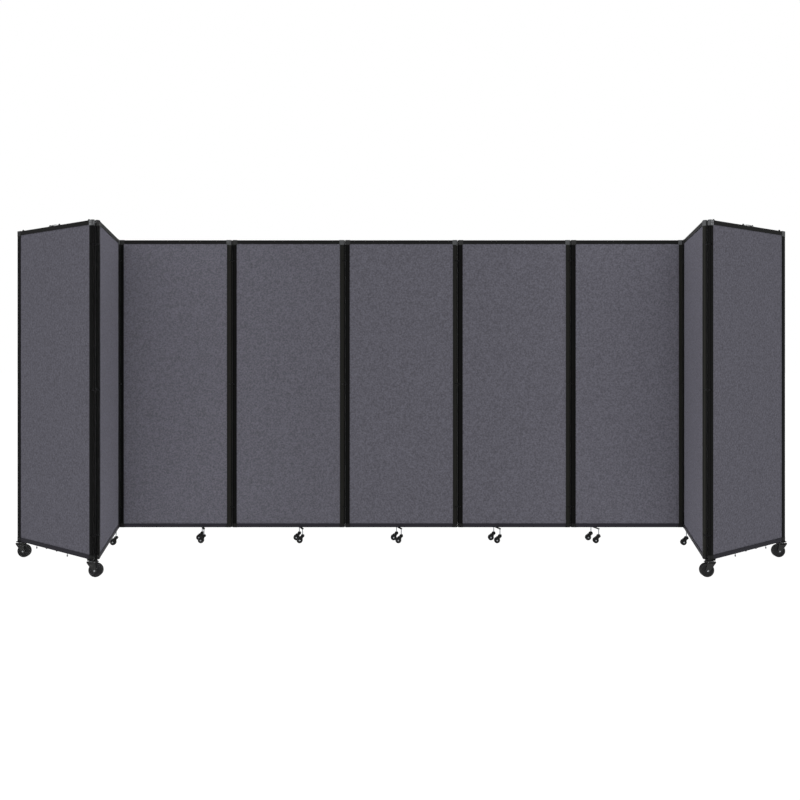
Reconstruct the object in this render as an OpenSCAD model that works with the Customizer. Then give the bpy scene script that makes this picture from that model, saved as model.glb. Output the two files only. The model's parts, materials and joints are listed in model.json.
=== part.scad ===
// Accordion folding partition: nine framed fabric panels in a chain, joined by double-acting hinges,
// standing on small swivel casters with two large casters under each end panel.
// Millimetres, +Z up, floor at Z = 0, the straight run faces -Y. The origin is on the floor, in the
// middle of the wall's footprint.

/* [Wall] */
// Distance between neighbouring hinge centres
panel_pitch = 850; // [700:5:1060]
// Height of one framed panel
panel_h = 2160; // [1200:10:2600]
// Fold of each return panel, from straight, at the corner hinges
corner_fold = 103.45; // [70:0.05:125]
// Fold of each end panel back from its return panel
end_fold = 135.85; // [110:0.05:162]

/* [Frame extrusions] */
// Thickness of the frame, front to back
frame_t = 22; // [18.3:0.1:30]
// Flat part of a hinged stile, from its hinge axis to the fabric panel
stile_reach = 22.5; // [21:0.5:34]
// Width of the plain post at the outer edge of each end panel
end_post_w = 38; // [34:1:60]
// Corner radius of that post
end_post_r = 4; // [1:0.5:6]
// Height of the top and bottom rails
rail_h = 28.6; // [26:0.2:40]
// Wall thickness of the extrusions
wall_t = 1.8; // [1.2:0.1:2.4]
// Joint line left between two pieces that are fixed together
seam = 0.04; // [0.02:0.01:0.1]

/* [Fabric panels] */
// Thickness of the rigid core
core_t = 13; // [8:0.1:13.6]
// Thickness of the fabric with its backing, on each side
skin_t = 1.5; // [1:0.1:2]
// How far the panel's edge reaches into the groove
panel_bite = 10; // [6:0.5:12]
// Play between the panel and the walls of the groove
panel_play = 0.3; // [0.2:0.05:0.5]

/* [Corner pieces] */
// How far a corner piece stands proud of the stile's faces
corner_proud = 0.8; // [0.4:0.1:1]
// How far the top corner pieces rise above the top rail
corner_rise = 1.6; // [0.5:0.1:4]
// Length of the tongue that keys each corner piece into the rail
tongue_len = 26; // [15:1:50]
// Play around that tongue
tongue_play = 0.2; // [0.1:0.05:0.4]

/* [Hinges] */
// Space between the rounded noses of two neighbouring stiles
nose_gap = 6; // [5:0.1:14]
// Radius of the hinge rods
rod_r = 4; // [3:0.1:4.8]
// Radial clearance of a rod in its stile
rod_fit = 0.06; // [0.03:0.01:0.1]
// Height of a knuckle plate
knuckle_h = 8; // [6:0.5:14]
// Play around a knuckle plate in its notch
knuckle_play = 0.4; // [0.3:0.05:0.8]
// Distance of the end knuckles from the frame's ends
knuckle_end = 150; // [80:5:300]

/* [Small casters] */
// Radius of a small wheel
small_wheel_r = 22.5; // [18:0.5:27]
// Width of a small wheel
small_wheel_w = 18; // [14:1:22]
// Trail of a small wheel behind its stem
small_trail = 22; // [18:0.5:26]
// Radius of the stem
small_stem_r = 4; // [3:0.5:5]
// Distance of each stem from the panel's middle plane, front and back
foot_spread = 41; // [36:1:50]
// How far the rear stem is offset along the panel
foot_skew = 36; // [0:1:40]
// How much nearer together the feet are than the panels, per panel, so that they nest when folded
foot_stagger = 112; // [95:1:120]

/* [Large casters] */
// Radius of a large wheel
large_wheel_r = 44; // [38:0.5:57]
// Width of a large wheel
large_wheel_w = 32; // [24:1:36]
// Trail of a large wheel behind its kingpin
large_trail = 28; // [26:0.5:36]
// Distance of the near kingpin from the hinge axis
near_kingpin = 14; // [10:1:60]
// Distance of the far kingpin from the outer edge
far_kingpin = 22; // [22:1:80]

/* [Fittings on the end panels] */
// Distance of the outer studs on the top rail from the fabric's edges
outer_stud_in = 19; // [10:1:100]
// Distance of the outer studs under the bottom rail from the fabric's edges
lower_stud_in = 32; // [30:1:100]
// Distance of the inner studs on the top rail from the panel's middle
inner_stud_x = 52; // [40:1:90]
// Shift of the lower row of fittings towards the outer edge
lower_shift = 35; // [0:1:60]
// Distance of the inner studs under the bottom rail from the middle of that row
lower_stud_x = 58; // [40:1:90]
// Distance of the grey pegs under the bottom rail from the middle of that row
peg_x = 176; // [120:1:250]
// Radius of a stud
stud_r = 7; // [4:0.5:9]
// Height of a stud on the top rail
stud_h = 9; // [4:0.5:12]
// Height of a stud under the bottom rail
lower_stud_h = 7; // [4:0.5:7]
// Length of a peg
peg_len = 22; // [12:1:30]

/* [Hidden] */
$fn = 64;
panels = [1:9];
run_panels = [3:7];
hinges = [1:8];
return_panels = [2, 8];
end_panels = [1, 9];
ends = ["near", "far"];
sides = ["front", "rear"];

// A large caster's build height sets the gap between the floor and the bottom rails
tyre_gap = 2.5;
crown_h = 4;
race_h = 10.6;
race_gap = 0.3;
plate_h = 4;
plate_pad_h = 0.6;
clearance = 2 * large_wheel_r + tyre_gap + crown_h + race_h + race_gap + plate_h + plate_pad_h;

// Plan of the chain
hinge_gap = frame_t + nose_gap;
span = panel_pitch - hinge_gap;
nose_r = frame_t / 2;
corner_r = nose_r + corner_proud;
groove_spare = 2;
groove_depth = panel_bite + groove_spare;
end_reach = span + nose_r + end_post_w - stile_reach;
frame_top = clearance + panel_h;
folds = [end_fold, -corner_fold, 0, 0, 0, 0, -corner_fold, end_fold];
middle = 5;

// Fits shared by pins, axles and their holes
pressed_fit = 0.02;
axle_fit = 0.06;
face_gap = 0.3;

// Small caster heights and sizes, from the floor up
foot_bar_w = 16;
foot_bar_h = 5;
foot_pad_h = 1;
foot_bar_top = clearance - foot_pad_h;
small_head_r = 13;
small_head_low = 2 * small_wheel_r + 2;
small_head_top = small_head_low + 19;
small_stem_low = small_head_low + 4.5;
small_arm_t = 3.2;
small_arm_gap = 0.6;
small_axle_r = 3;
small_axle_head_r = 5.5;
small_axle_head_h = 2;
foot_screw_r = 2.5;
foot_screw_head_r = 4.5;
foot_screw_head_h = 2;
foot_screw_low = foot_bar_top - foot_bar_h - seam - foot_screw_head_h;
foot_screw_x = 7;

// Large caster heights and sizes, from the floor up
plate_size = 44;
plate_top = clearance - plate_pad_h;
plate_r = 6;
race_r = 10;
crown_low = 2 * large_wheel_r + tyre_gap;
crown_top = crown_low + crown_h;
crown_front = 22;
crown_back = 30;
shoulder_top = crown_top + race_h - 2;
neck_half = 9;
kingpin_r = 6;
kingpin_head_r = 9;
kingpin_head_h = 4;
large_leg_t = 4;
large_leg_gap = 2;
large_axle_r = 5;
large_axle_head_r = 6;
large_axle_head_h = 5;
pedal_pin_r = 1.6;
pedal_barrel_r = 3.4;
pedal_gap = 0.5;
pedal_tip = 16;
pedal_lever_half = 12;
pedal_x = 4 - crown_back;
pedal_z = crown_top + pedal_gap + pedal_barrel_r;

// Names of the nodes
function frame_name(i) = str("frame_", i);
function fabric_name(i) = str("fabric_", i);
function hinge_name(k) = str("hinge_", k, "_", k + 1);
function end_part(kind, i, at) = str("end_", kind, "_", i, "_", at);
function foot_part(kind, i, at) = str("foot_", kind, "_", i, "_", at);
function pedal_name(i) = str("brake_pedal_", i);

// ---- Plan of the chain: headings and hinge axes, worked outwards from the middle panel ----
function direction(a) = [cos(a), sin(a)];
function turned(p, a) = [p[0] * cos(a) - p[1] * sin(a), p[0] * sin(a) + p[1] * cos(a)];
function fold(k) = folds[k - 1];
function heading(i) =
    i == middle ? 0 :
    i > middle ? heading(i - 1) + fold(i - 1) :
    heading(i + 1) - fold(i);
function link_heading(k) = heading(k) + fold(k) / 2;
function left_axis(i) =
    i == middle ? [-span / 2, 0] :
    i > middle ? right_axis(i - 1) + hinge_gap * direction(link_heading(i - 1)) :
    right_axis(i) - span * direction(heading(i));
function right_axis(i) =
    i < middle ? left_axis(i + 1) - hinge_gap * direction(link_heading(i)) :
    left_axis(i) + span * direction(heading(i));
function panel_centre(i) = (left_axis(i) + right_axis(i)) / 2;
function panel_point(i, p) = panel_centre(i) + turned(p, heading(i));

// The footprint reaches from the front corner of a near caster's plate to the rear axle heads
plate_turned = (plate_size / 2 - plate_r) * (abs(sin(heading(9))) + abs(cos(heading(9)))) + plate_r;
front_y = panel_point(9, [near_kingpin - span / 2, 0])[1] - plate_turned;
rear_y = foot_spread + small_wheel_w / 2 + small_arm_gap + small_arm_t + small_axle_head_h;
run_y = -(front_y + rear_y) / 2;

// Draws its children in the frame of panel i: X along the panel, Y to its back, origin in its middle
module on_panel(i) {
    c = panel_centre(i);
    translate([c[0], run_y + c[1], 0]) rotate(heading(i)) children();
}

// Draws its children in the frame of the hinge after panel k, X from one axis to the other
module on_hinge(k) {
    c = (right_axis(k) + left_axis(k + 1)) / 2;
    translate([c[0], run_y + c[1], 0]) rotate(link_heading(k)) children();
}

// Draws its children at a swivel axis: the wheel trails to -X, or to +X when flipped
module on_swivel(i, p, flipped) {
    c = panel_point(i, p);
    translate([c[0], run_y + c[1], 0]) rotate(flipped ? 180 : 0) children();
}

// A bar with round ends, from one point to the other. Its straight sides lie a hair inside the ends'
// tangents, so that they cut the round ends cleanly.
module round_bar(a, b, r, h) {
    along = b - a;
    side = r - 0.02;
    for (p = [a, b]) translate(p) cylinder(r = r, h = h);
    translate(a) rotate(atan2(along[1], along[0])) translate([0, -side, 0]) cube([norm(along), 2 * side, h]);
}

// A square plate with round corners, centred on the origin
module rounded_square(w, d, r) {
    square([w - 2 * r, d], center = true);
    square([w, d - 2 * r], center = true);
    for (x = [-1, 1], y = [-1, 1]) translate([x * (w / 2 - r), y * (d / 2 - r)]) circle(r = r);
}

// ---- Frame ----
// Stiles and corner pieces are drawn with the hinge axis at the origin and the fabric towards -X
groove_w = core_t + 2 * skin_t + 2 * panel_play;
knuckle_levels = [
    clearance + knuckle_end,
    clearance + (panel_h - knuckle_h) / 2,
    frame_top - knuckle_end - knuckle_h
];
rod_end = 4;
strip_gap = 0.4;
strip_t = nose_gap - 2 * strip_gap;
strip_end_t = strip_t - 2 * corner_proud;
knuckle_r = min(nose_r - 3, stile_reach - groove_depth - knuckle_play - 1.5);
stile_low = clearance + rail_h + seam;
stile_h = panel_h - 2 * rail_h - 2 * seam;

module hinged_outline(r) {
    circle(r = r);
    translate([-stile_reach, -r]) square([stile_reach, 2 * r]);
}

module hinged_stile() {
    color("#1b1b1d") difference() {
        translate([0, 0, stile_low]) linear_extrude(stile_h) hinged_outline(nose_r);
        translate([-stile_reach - 1, -groove_w / 2, clearance]) cube([groove_depth + 1, groove_w, panel_h]);
        translate([0, 0, clearance]) cylinder(r = rod_r + rod_fit, h = panel_h);
        for (z = knuckle_levels)
            translate([-knuckle_r - knuckle_play, -frame_t, z - knuckle_play])
                cube([2 * frame_t, 2 * frame_t, knuckle_h + 2 * knuckle_play]);
    }
}

// The post at the outer edge of an end panel, drawn with its outer face at the origin
module end_post_outline(proud) {
    w = end_post_w;
    t = frame_t + 2 * proud;
    translate([-w, -t / 2]) square([w - end_post_r, t]);
    translate([-w, end_post_r - t / 2]) square([w, t - 2 * end_post_r]);
    for (y = [-1, 1]) translate([-end_post_r, y * (t / 2 - end_post_r)]) circle(r = end_post_r);
}

module end_post() {
    color("#1b1b1d") difference() {
        translate([0, 0, stile_low]) linear_extrude(stile_h) end_post_outline(0);
        translate([-end_post_w - 1, -groove_w / 2, clearance]) cube([groove_depth + 1, groove_w, panel_h]);
        translate([-end_post_w + groove_depth + wall_t, -nose_r + wall_t, clearance])
            cube([end_post_w - groove_depth - 2 * wall_t - end_post_r / 2, frame_t - 2 * wall_t, panel_h]);
    }
}

// A rail's section, seen along the rail: the groove opens downwards
chamber_low = groove_depth + wall_t;
chamber_w = frame_t - 2 * wall_t;
chamber_h = rail_h - chamber_low - wall_t;

module rail_section() {
    difference() {
        translate([-frame_t / 2, 0]) square([frame_t, rail_h]);
        translate([-groove_w / 2, -1]) square([groove_w, groove_depth + 1]);
        translate([-chamber_w / 2, chamber_low]) square([chamber_w, chamber_h]);
    }
}

// x0 and x1 are the rail's ends; top rails hang their groove down, bottom rails are turned over
module rail(x0, x1, top) {
    color("#1b1b1d")
        translate([x0 + seam, 0, top ? frame_top - rail_h : clearance + rail_h])
            mirror([0, 0, top ? 0 : 1])
                rotate([90, 0, 90]) linear_extrude(x1 - x0 - 2 * seam) rail_section();
}

// A tongue that keys a corner piece into the chamber of a rail, reaching towards -X
module tongue(top) {
    h = chamber_h - 2 * tongue_play;
    w = chamber_w - 2 * tongue_play;
    low = top ? frame_top - rail_h + chamber_low + tongue_play : clearance + wall_t + tongue_play;
    translate([-tongue_len, -w / 2, low]) cube([tongue_len + 1, w, h]);
}

// The pocket in a corner piece for the fabric panel's corner, drawn with the fabric's edge at X = 0
module panel_pocket(top) {
    translate([-1, -groove_w / 2, top ? frame_top - rail_h - 1 : clearance + rail_h - groove_depth])
        cube([groove_depth + 1, groove_w, groove_depth + 1]);
}

module hinged_corner(top) {
    low = top ? frame_top - rail_h : clearance;
    color(top ? "#4a4b4e" : "#222224") {
        difference() {
            translate([0, 0, low]) linear_extrude(rail_h + (top ? corner_rise : 0)) hinged_outline(corner_r);
            translate([0, 0, top ? low - 1 : low + rod_end])
                cylinder(r = rod_r + rod_fit, h = rail_h - rod_end + 1);
            translate([-stile_reach, 0, 0]) panel_pocket(top);
        }
        translate([-stile_reach, 0, 0]) tongue(top);
    }
}

module post_corner(top) {
    low = top ? frame_top - rail_h : clearance;
    color(top ? "#3c3d40" : "#222224") {
        difference() {
            translate([0, 0, low])
                linear_extrude(rail_h + (top ? corner_rise : 0)) end_post_outline(corner_proud);
            translate([-end_post_w, 0, 0]) panel_pocket(top);
        }
        translate([-end_post_w, 0, 0]) tongue(top);
    }
}

// The fabric opening of a panel runs from x0 to x1 in the panel's frame
function is_end(i) = i == 1 || i == 9;
outer_edge = end_reach - span / 2;
function opening_right(i) = i == 9 ? outer_edge - end_post_w : span / 2 - stile_reach;
function opening_left(i) = i == 1 ? -(outer_edge - end_post_w) : stile_reach - span / 2;

module panel_side(i, right) {
    plain = right ? i == 9 : i == 1;
    mirror([right ? 0 : 1, 0, 0])
        translate([plain ? outer_edge : span / 2, 0, 0])
            if (plain) {
                end_post();
                post_corner(true);
                post_corner(false);
            } else {
                hinged_stile();
                hinged_corner(true);
                hinged_corner(false);
            }
}

module panel_frame(i) {
    on_panel(i) {
        panel_side(i, false);
        panel_side(i, true);
        rail(opening_left(i), opening_right(i), true);
        rail(opening_left(i), opening_right(i), false);
        if (is_end(i)) mirror([i == 1 ? 1 : 0, 0, 0]) end_fittings();
    }
    if (is_end(i)) for (at = ends) on_swivel(i, end_swivel(i, at), false) caster_plate(heading(i));
    else if (abs(i - middle) <= 2) on_panel(i) foot_bar(foot_x(i));
    else on_panel(i) single_stem(foot_x(i));
}

// ---- Fabric panels: a rigid core with a fabric skin on each side ----
module fabric_panel(i) {
    w = opening_right(i) - opening_left(i) + 2 * panel_bite;
    h = panel_h - 2 * rail_h + 2 * panel_bite;
    on_panel(i) translate([opening_left(i) - panel_bite, 0, clearance + rail_h - panel_bite]) {
        color("#b9b19c") translate([0, -core_t / 2, 0]) cube([w, core_t, h]);
        color("#5a5862") for (y = [-core_t / 2 - skin_t - seam, core_t / 2 + seam])
            translate([0, y, 0]) cube([w, skin_t, h]);
    }
}

// ---- Double-acting hinges: a strip with three knuckle plates, turning on two rods ----
// The strip fills the gap between two stiles, and is thinner beside the corner pieces, which stand proud
strip_end = 2;
strip_shoulder = 8;
module hinge(k) {
    on_hinge(k) {
        color("#232325") difference() {
            union() {
                translate([-strip_end_t / 2, -nose_r, clearance + strip_end])
                    cube([strip_end_t, frame_t, panel_h - 2 * strip_end]);
                translate([-strip_t / 2, -nose_r, stile_low + strip_shoulder])
                    cube([strip_t, frame_t, stile_h - 2 * strip_shoulder]);
                for (z = knuckle_levels) translate([0, 0, z])
                    round_bar([-hinge_gap / 2, 0], [hinge_gap / 2, 0], knuckle_r, knuckle_h);
            }
            for (x = [-1, 1]) translate([x * hinge_gap / 2, 0, clearance])
                cylinder(r = rod_r + pressed_fit, h = panel_h);
        }
        color("#8d8f92") for (x = [-1, 1])
            translate([x * hinge_gap / 2, 0, clearance + rod_end + face_gap])
                cylinder(r = rod_r, h = panel_h - 2 * rod_end - 2 * face_gap);
    }
}

// ---- Small casters ----
// Feet are closer together than the panels, so each panel's foot is staggered along it
function foot_x(i) = -foot_stagger * (i - middle);
function foot_point(i, at) =
    at == "front" ? [foot_x(i), -foot_spread] :
    at == "rear" ? [foot_x(i) - foot_skew, foot_spread] :
    [foot_x(i), 0];

module stem() {
    translate([0, 0, small_stem_low]) cylinder(r = small_stem_r, h = foot_bar_top - small_stem_low);
}

// The cross bar under a run panel, its pad, its screws and its two stems
module foot_bar(x) {
    a = [x, -foot_spread];
    b = [x - foot_skew, foot_spread];
    mid = (a + b) / 2;
    along = (b - a) / norm(b - a);
    color("#202022") difference() {
        translate([0, 0, foot_bar_top - foot_bar_h]) round_bar(a, b, foot_bar_w / 2, foot_bar_h);
        for (p = [a, b]) translate([p[0], p[1], 0])
            cylinder(r = small_stem_r + pressed_fit, h = clearance);
        for (s = [-1, 1]) translate(mid + s * foot_screw_x * along)
            cylinder(r = foot_screw_r + pressed_fit, h = clearance);
    }
    color("#2c2c2e") difference() {
        translate([mid[0] - foot_bar_w / 2, -nose_r, foot_bar_top + seam])
            cube([foot_bar_w, frame_t, foot_pad_h - 2 * seam]);
        for (s = [-1, 1]) translate(mid + s * foot_screw_x * along)
            cylinder(r = foot_screw_r + pressed_fit, h = clearance + 1);
    }
    color("#9a9c9f") {
        for (p = [a, b]) translate(p) stem();
        for (s = [-1, 1]) translate(mid + s * foot_screw_x * along) {
            translate([0, 0, foot_screw_low]) cylinder(r = foot_screw_r, h = clearance - seam - foot_screw_low);
            translate([0, 0, foot_screw_low]) cylinder(r = foot_screw_head_r, h = foot_screw_head_h);
        }
    }
}

// The single stem under a return panel, with its flange against the rail
module single_stem(x) {
    color("#9a9c9f") translate([x, 0, 0]) {
        stem();
        translate([0, 0, foot_bar_top - foot_bar_h])
            cylinder(r = small_stem_r + 4, h = foot_bar_h + foot_pad_h - seam);
    }
}

module small_arm() {
    polygon([
        [8, small_head_top - 3], [12, small_head_top - 6], [12, small_head_low + 3],
        [-small_trail + 5.5, small_wheel_r - 5], [-small_trail - 6, small_wheel_r + 4],
        [-9, small_head_top - 3]
    ]);
    translate([-small_trail, small_wheel_r]) circle(r = 7.2);
}

module small_fork() {
    arm_low = small_wheel_w / 2 + small_arm_gap;
    head_y = arm_low + small_arm_t;
    color("#1d1d1f") difference() {
        union() {
            translate([0, 0, small_head_low]) cylinder(r = small_head_r, h = small_head_top - small_head_low);
            for (s = [-1, 1]) translate([0, s > 0 ? head_y : -arm_low, 0])
                rotate([90, 0, 0]) linear_extrude(small_arm_t) small_arm();
        }
        translate([0, 0, small_stem_low - face_gap]) cylinder(r = small_stem_r + axle_fit, h = small_head_top);
        translate([-small_trail, 0, small_wheel_r]) rotate([90, 0, 0])
            cylinder(r = small_axle_r + pressed_fit, h = 4 * head_y, center = true);
    }
    color("#a5a7aa") translate([-small_trail, 0, small_wheel_r]) rotate([90, 0, 0]) {
        cylinder(r = small_axle_r, h = 2 * (head_y + small_axle_head_h), center = true);
        for (s = [-1, 1]) translate([0, 0, s * (head_y + seam + small_axle_head_h / 2)])
            cylinder(r = small_axle_head_r, h = small_axle_head_h, center = true);
    }
}

// A wheel of radius r: a tyre round a hub, bored for its axle and lying along Y
module wheel(r, w, tyre_t, boss_r, boss_h, bore_r) {
    rotate([90, 0, 0]) {
        color("#161617") rotate_extrude() {
            translate([r - tyre_t, -w / 2]) square([tyre_t - 2, w]);
            translate([r - tyre_t, -w / 2 + 2]) square([tyre_t, w - 4]);
            for (s = [-1, 1]) translate([r - 2, s * (w / 2 - 2)]) circle(r = 2);
        }
        color("#2a2a2c") difference() {
            union() {
                cylinder(r = r - tyre_t - seam, h = w - 6, center = true);
                cylinder(r = boss_r, h = boss_h, center = true);
            }
            cylinder(r = bore_r, h = 2 * w, center = true);
        }
    }
}

module small_wheel() {
    translate([-small_trail, 0, small_wheel_r])
        wheel(small_wheel_r, small_wheel_w, 6, 7, small_wheel_w + small_arm_gap, small_axle_r + axle_fit);
}

// ---- Large casters ----
function end_swivel(i, at) =
    let (x = at == "near" ? near_kingpin - span / 2 : outer_edge - far_kingpin)
    [i == 1 ? -x : x, 0];

// The fixed plate and kingpin of a large caster, square to the panel
module caster_plate(turn) {
    color("#b4b6b9") rotate(turn) difference() {
        union() {
            translate([0, 0, plate_top - plate_h]) linear_extrude(plate_h)
                rounded_square(plate_size, plate_size, plate_r);
            translate([-kingpin_head_r, -kingpin_head_r, plate_top])
                cube([2 * kingpin_head_r, 2 * kingpin_head_r, plate_pad_h - seam]);
        }
        translate([0, 0, plate_top - plate_h - 1]) cylinder(r = kingpin_r + pressed_fit, h = plate_h + 1);
    }
    color("#c2c4c6") {
        translate([0, 0, crown_low - face_gap]) cylinder(r = kingpin_r, h = plate_top - seam - crown_low + face_gap);
        translate([0, 0, crown_low - face_gap - kingpin_head_h])
            cylinder(r = kingpin_head_r, h = kingpin_head_h);
    }
}

// One leg of a large fork, with a shoulder before and behind the neck
module large_leg(braked) {
    polygon([
        [neck_half, crown_top + 2], [neck_half, shoulder_top], [crown_front - 4, shoulder_top],
        [crown_front + 2, shoulder_top - 5], [crown_front, crown_low + 2],
        [-large_trail + 12.5, large_wheel_r - 5], [-large_trail - 12.5, large_wheel_r + 5],
        [-crown_back, crown_low], [-crown_back, crown_top + 3], [-crown_back + 8, shoulder_top],
        [-neck_half, shoulder_top], [-neck_half, crown_top + 2]
    ]);
    translate([-large_trail, large_wheel_r]) circle(r = 13.5);
    if (braked) translate([pedal_x, pedal_z]) circle(r = pedal_barrel_r);
}

module large_fork(braked) {
    leg_low = large_wheel_w / 2 + large_leg_gap;
    leg_out = leg_low + large_leg_t;
    color("#1b1b1d") difference() {
        union() {
            translate([(crown_front - crown_back) / 2, 0, crown_low]) linear_extrude(crown_h)
                rounded_square(crown_front + crown_back, 2 * leg_out, 5);
            translate([0, 0, crown_top]) cylinder(r = race_r, h = race_h);
            for (s = [-1, 1]) translate([0, s > 0 ? leg_out : -leg_low, 0])
                rotate([90, 0, 0]) linear_extrude(large_leg_t) large_leg(braked);
        }
        translate([0, 0, crown_low - 1]) cylinder(r = kingpin_r + axle_fit, h = clearance);
        translate([-large_trail, 0, large_wheel_r]) rotate([90, 0, 0])
            cylinder(r = large_axle_r + pressed_fit, h = 4 * leg_out, center = true);
        if (braked) translate([pedal_x, 0, pedal_z]) rotate([90, 0, 0])
            cylinder(r = pedal_pin_r + pressed_fit, h = 4 * leg_out, center = true);
    }
    color("#b9bbbd") {
        translate([-large_trail, 0, large_wheel_r]) rotate([90, 0, 0]) {
            cylinder(r = large_axle_r, h = 2 * (leg_out + large_axle_head_h), center = true);
            for (s = [-1, 1]) translate([0, 0, s * (leg_out + seam + large_axle_head_h / 2)])
                cylinder(r = large_axle_head_r, h = large_axle_head_h, center = true);
        }
        if (braked) translate([pedal_x, 0, pedal_z]) rotate([90, 0, 0])
            cylinder(r = pedal_pin_r, h = 2 * leg_out, center = true);
    }
}

module large_wheel() {
    boss_h = large_wheel_w + 2 * large_leg_gap - 2 * face_gap;
    translate([-large_trail, 0, large_wheel_r])
        wheel(large_wheel_r, large_wheel_w, 11, 12, boss_h, large_axle_r + axle_fit);
}

// The brake pedal over the crown of a near caster, at rest in its raised position
module brake_pedal() {
    half = large_wheel_w / 2 + large_leg_gap - face_gap;
    color("#26262a") difference() {
        union() {
            translate([pedal_x, 0, pedal_z]) rotate([90, 0, 0])
                cylinder(r = pedal_barrel_r, h = 2 * half, center = true);
            translate([0, pedal_lever_half, 0]) rotate([90, 0, 0])
                linear_extrude(2 * pedal_lever_half) polygon([
                    [pedal_x, pedal_z - 2], [pedal_x - 5, pedal_z - 2.6],
                    [pedal_x - pedal_tip, pedal_z - 6], [pedal_x - pedal_tip, pedal_z - 2],
                    [pedal_x - 5, pedal_z + 2], [pedal_x, pedal_z + 2.6]
                ]);
        }
        translate([pedal_x, 0, pedal_z]) rotate([90, 0, 0])
            cylinder(r = pedal_pin_r + axle_fit, h = 4 * half, center = true);
    }
}

// ---- Fittings on the end panels, drawn for the right-hand one ----
strap_t = 1.6;
strap_w = 14;
strap_rise = 6;

module stud(h) {
    color("#131314") {
        cylinder(r = stud_r, h = h * 0.4);
        cylinder(r1 = stud_r * 0.8, r2 = stud_r * 0.55, h = h);
    }
}

module top_stud(x, lift) {
    translate([x, 0, frame_top + seam + lift]) stud(stud_h);
}

module lower_stud(x) {
    translate([x, 0, clearance - seam]) mirror([0, 0, 1]) stud(lower_stud_h);
}

// A low pull strap held under the two inner studs of the top rail
module pull_strap() {
    x = inner_stud_x;
    color("#c9cacc") translate([0, strap_w / 2, frame_top + seam]) rotate([90, 0, 0]) linear_extrude(strap_w) polygon([
        [-x - 10, 0], [-x + 10, 0], [-x + 24, strap_rise], [x - 24, strap_rise], [x - 10, 0], [x + 10, 0],
        [x + 10, strap_t], [x - 9, strap_t], [x - 23, strap_rise + strap_t],
        [-x + 23, strap_rise + strap_t], [-x + 9, strap_t], [-x - 10, strap_t]
    ]);
}

module peg() {
    tip = 8;
    translate([0, 0, clearance - peg_len]) {
        color("#a2a4a6") translate([0, 0, tip + seam]) cylinder(r = 3, h = peg_len - tip - 2 * seam);
        color("#3a3a3c") cylinder(r = 4.5, h = tip);
    }
}

module end_fittings() {
    c = (opening_left(9) + opening_right(9)) / 2;
    half = (opening_right(9) - opening_left(9)) / 2;
    for (side = [-1, 1]) {
        top_stud(c + side * (half - outer_stud_in), 0);
        top_stud(c + side * inner_stud_x, strap_t + seam);
        lower_stud(c + side * (half - lower_stud_in));
        lower_stud(c + lower_shift + side * lower_stud_x);
        translate([c + lower_shift + side * peg_x, 0, 0]) peg();
    }
    translate([c, 0, 0]) pull_strap();
}

// ---- One node at a time, or all of them ----
for (i = panels) {
    panel_frame(i);
    fabric_panel(i);
}
for (k = hinges)
    hinge(k);
for (i = end_panels) {
    for (at = ends) {
        on_swivel(i, end_swivel(i, at), i == 1) large_fork(at == "near");
        on_swivel(i, end_swivel(i, at), i == 1) large_wheel();
    }
    on_swivel(i, end_swivel(i, "near"), i == 1) brake_pedal();
}
for (i = run_panels, at = sides) {
    on_swivel(i, foot_point(i, at), false) small_fork();
    on_swivel(i, foot_point(i, at), false) small_wheel();
}
for (i = return_panels) {
    on_swivel(i, foot_point(i, "single"), false) small_fork();
    on_swivel(i, foot_point(i, "single"), false) small_wheel();
}
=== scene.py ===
# %% [markdown]
# # Accordion folding partition
# This lesson builds the looks of a portable wall: nine felt-covered panels in black aluminium frames,
# joined edge to edge by double-acting hinges and rolling on casters. A measured model already holds every
# piece's place and every joint. Each step below makes one kind of piece in detail and hands it to the body
# that it moves with.

# %% Load the measured model
import json
import math

import bmesh
import bpy
from mathutils import Matrix, Vector


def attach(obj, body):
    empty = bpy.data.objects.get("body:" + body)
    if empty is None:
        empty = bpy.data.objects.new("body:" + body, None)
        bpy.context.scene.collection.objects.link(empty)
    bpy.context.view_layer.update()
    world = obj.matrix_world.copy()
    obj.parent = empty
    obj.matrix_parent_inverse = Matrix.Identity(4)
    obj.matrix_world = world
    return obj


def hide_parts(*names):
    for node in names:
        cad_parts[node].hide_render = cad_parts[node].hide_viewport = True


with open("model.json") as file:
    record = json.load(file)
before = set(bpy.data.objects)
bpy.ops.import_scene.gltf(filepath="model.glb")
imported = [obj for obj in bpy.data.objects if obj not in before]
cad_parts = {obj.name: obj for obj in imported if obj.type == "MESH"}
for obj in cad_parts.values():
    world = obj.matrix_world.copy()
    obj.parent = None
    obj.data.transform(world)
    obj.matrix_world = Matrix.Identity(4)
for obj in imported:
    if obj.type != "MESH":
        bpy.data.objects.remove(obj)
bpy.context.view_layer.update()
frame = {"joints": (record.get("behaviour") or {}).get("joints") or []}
joints = {j["name"]: j for j in frame["joints"]}

# %% [markdown]
# ## Where each panel stands
# The wall is a chain. Each double-acting hinge has two upright axes, one in each neighbouring stile, so
# two axes give a panel's place and heading. The two end panels have one axis only, and their heading
# comes from the fold that the photograph shows. Pieces are drawn in millimetres, as on a workshop
# drawing, in their panel's own frame: X along the panel, Y to its back, Z up from the floor.

# %% Sizes of the wall, in millimetres
PANELS = range(1, 10)
PITCH = 850.0
HINGE_GAP = 28.0
SPAN = PITCH - HINGE_GAP
END_FOLD = 135.85
CLEARANCE = 110.0
PANEL_HEIGHT = 2160.0
TOP = CLEARANCE + PANEL_HEIGHT
FRAME_THICK = 22.0
NOSE = FRAME_THICK / 2
STILE_REACH = 22.5
POST_WIDTH = 38.0
RAIL_HEIGHT = 28.6
OUTER_EDGE = SPAN / 2 + NOSE + POST_WIDTH - STILE_REACH
MILLIMETRES = Matrix.Scale(0.001, 4)

# %% Frames of the panels
def plan_point(name):
    """A joint axis seen from above, in metres."""
    return Vector(joints[name]["pos_m"][:2])


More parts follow.
